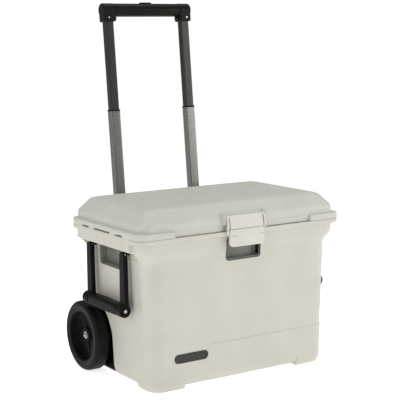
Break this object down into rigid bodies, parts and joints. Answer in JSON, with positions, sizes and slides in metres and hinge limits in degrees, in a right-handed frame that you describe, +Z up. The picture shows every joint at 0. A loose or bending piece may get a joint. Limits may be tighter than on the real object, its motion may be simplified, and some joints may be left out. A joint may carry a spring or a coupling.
{
  "type": "wheeled cooler",
  "caption": "Hard insulated cooler with rear wheels, a telescoping pull handle, bail carry handles, a front latch and a hinged lid.",
  "frame": {"origin": "on the ground, under the centre of the whole object's box with the pull handle extended", "axes": "+Z up, +X to the right as seen from the latch side, +Y from the latch towards the pull handle"},
  "size_m": [0.662, 0.5302, 1.0032],
  "materials": {
    "shell": "satin",
    "lid_skin": "satin",
    "foam": "matte",
    "liner": "gloss",
    "gasket": "matte",
    "recess_grey": "satin",
    "plate": "satin",
    "handle_black": "satin",
    "charcoal": "satin",
    "tube": "satin",
    "steel": "satin",
    "tyre": "matte",
    "hub_black": "satin"
  },
  "bodies": {
    "base": {"outer_shell": "shell", "body_foam": "foam", "inner_liner": "liner", "front_recess": "recess_grey", "left_recess": "recess_grey", "right_recess": "recess_grey", "left_foot": "shell", "right_foot": "shell", "name_plate": "plate", "hinge_brackets": "shell", "hinge_pins": "steel", "left_pivot_lugs": "handle_black", "right_pivot_lugs": "handle_black", "mast_housing": "charcoal", "left_socket": "charcoal", "right_socket": "charcoal", "left_carrier": "hub_black", "left_axle": "steel", "left_axle_cap": "steel", "right_carrier": "hub_black", "right_axle": "steel", "right_axle_cap": "steel", "drain_fitting": "charcoal"},
    "lid": {"lid_shell": "lid_skin", "lid_foam": "foam", "lid_inner_panel": "liner", "lid_gasket": "gasket", "latch_mount": "lid_skin", "latch_top_pin": "steel"},
    "latch_link_body": {"latch_link": "shell", "latch_middle_pin": "steel"},
    "latch_lever_body": {"latch_lever": "shell"},
    "left_handle": {"left_pivot_pins": "steel", "left_front_arm": "handle_black", "left_rear_arm": "handle_black", "left_grip": "handle_black", "left_grip_screws": "steel"},
    "right_handle": {"right_pivot_pins": "steel", "right_front_arm": "handle_black", "right_rear_arm": "handle_black", "right_grip": "handle_black", "right_grip_screws": "steel"},
    "lower_stage": {"left_lower_tube": "tube", "right_lower_tube": "tube", "left_tube_collar": "charcoal", "right_tube_collar": "charcoal"},
    "upper_stage": {"left_upper_tube": "tube", "right_upper_tube": "tube", "pull_grip": "charcoal", "left_end_cap": "charcoal", "right_end_cap": "charcoal", "end_cap_screws": "steel"},
    "button": {"release_button": "charcoal"},
    "left_wheel": {"left_tyre": "tyre", "left_hub": "hub_black"},
    "right_wheel": {"right_tyre": "tyre", "right_hub": "hub_black"},
    "drain_plug": {"drain_cap": "charcoal"}
  },
  "joints": [
    {"name": "lid_hinge", "type": "hinge", "parent": "base", "child": "lid", "pos_m": [0, 0.13385, 0.425], "axis": [-1, 0, 0], "range_deg": [0, 85]},
    {"name": "latch_link_hinge", "type": "hinge", "parent": "lid", "child": "latch_link_body", "pos_m": [0, -0.25465, 0.441], "axis": [-1, 0, 0], "range_deg": [0, 110]},
    {"name": "latch_lever_hinge", "type": "hinge", "parent": "latch_link_body", "child": "latch_lever_body", "pos_m": [0, -0.26165, 0.406], "axis": [-1, 0, 0], "range_deg": [0, 80]},
    {"name": "left_handle_hinge", "type": "hinge", "parent": "base", "child": "left_handle", "pos_m": [-0.3085, -0.06215, 0.358], "axis": [0, 1, 0], "range_deg": [0, 90]},
    {"name": "right_handle_hinge", "type": "hinge", "parent": "base", "child": "right_handle", "pos_m": [0.3085, -0.06215, 0.358], "axis": [0, -1, 0], "range_deg": [0, 90]},
    {"name": "lower_slide", "type": "slide", "parent": "base", "child": "lower_stage", "axis": [0, 0.0941, 0.9956], "range_m": [-0.295, 0]},
    {"name": "upper_slide", "type": "slide", "parent": "lower_stage", "child": "upper_stage", "axis": [0, 0.0941, 0.9956], "range_m": [-0.246, 0]},
    {"name": "button_slide", "type": "slide", "parent": "upper_stage", "child": "button", "axis": [0, -0.0941, -0.9956], "range_m": [0, 0.003], "stiffness_N_per_m": 400},
    {"name": "left_wheel_spin", "type": "hinge", "parent": "base", "child": "left_wheel", "pos_m": [-0.3025, 0.06885, 0.096], "axis": [1, 0, 0], "continuous": true},
    {"name": "right_wheel_spin", "type": "hinge", "parent": "base", "child": "right_wheel", "pos_m": [0.3025, 0.06885, 0.096], "axis": [1, 0, 0], "continuous": true},
    {"name": "drain_cap_turn", "type": "hinge", "parent": "base", "child": "drain_plug", "pos_m": [0.287, -0.10215, 0.062], "axis": [1, 0, 0], "continuous": true}
  ]
}
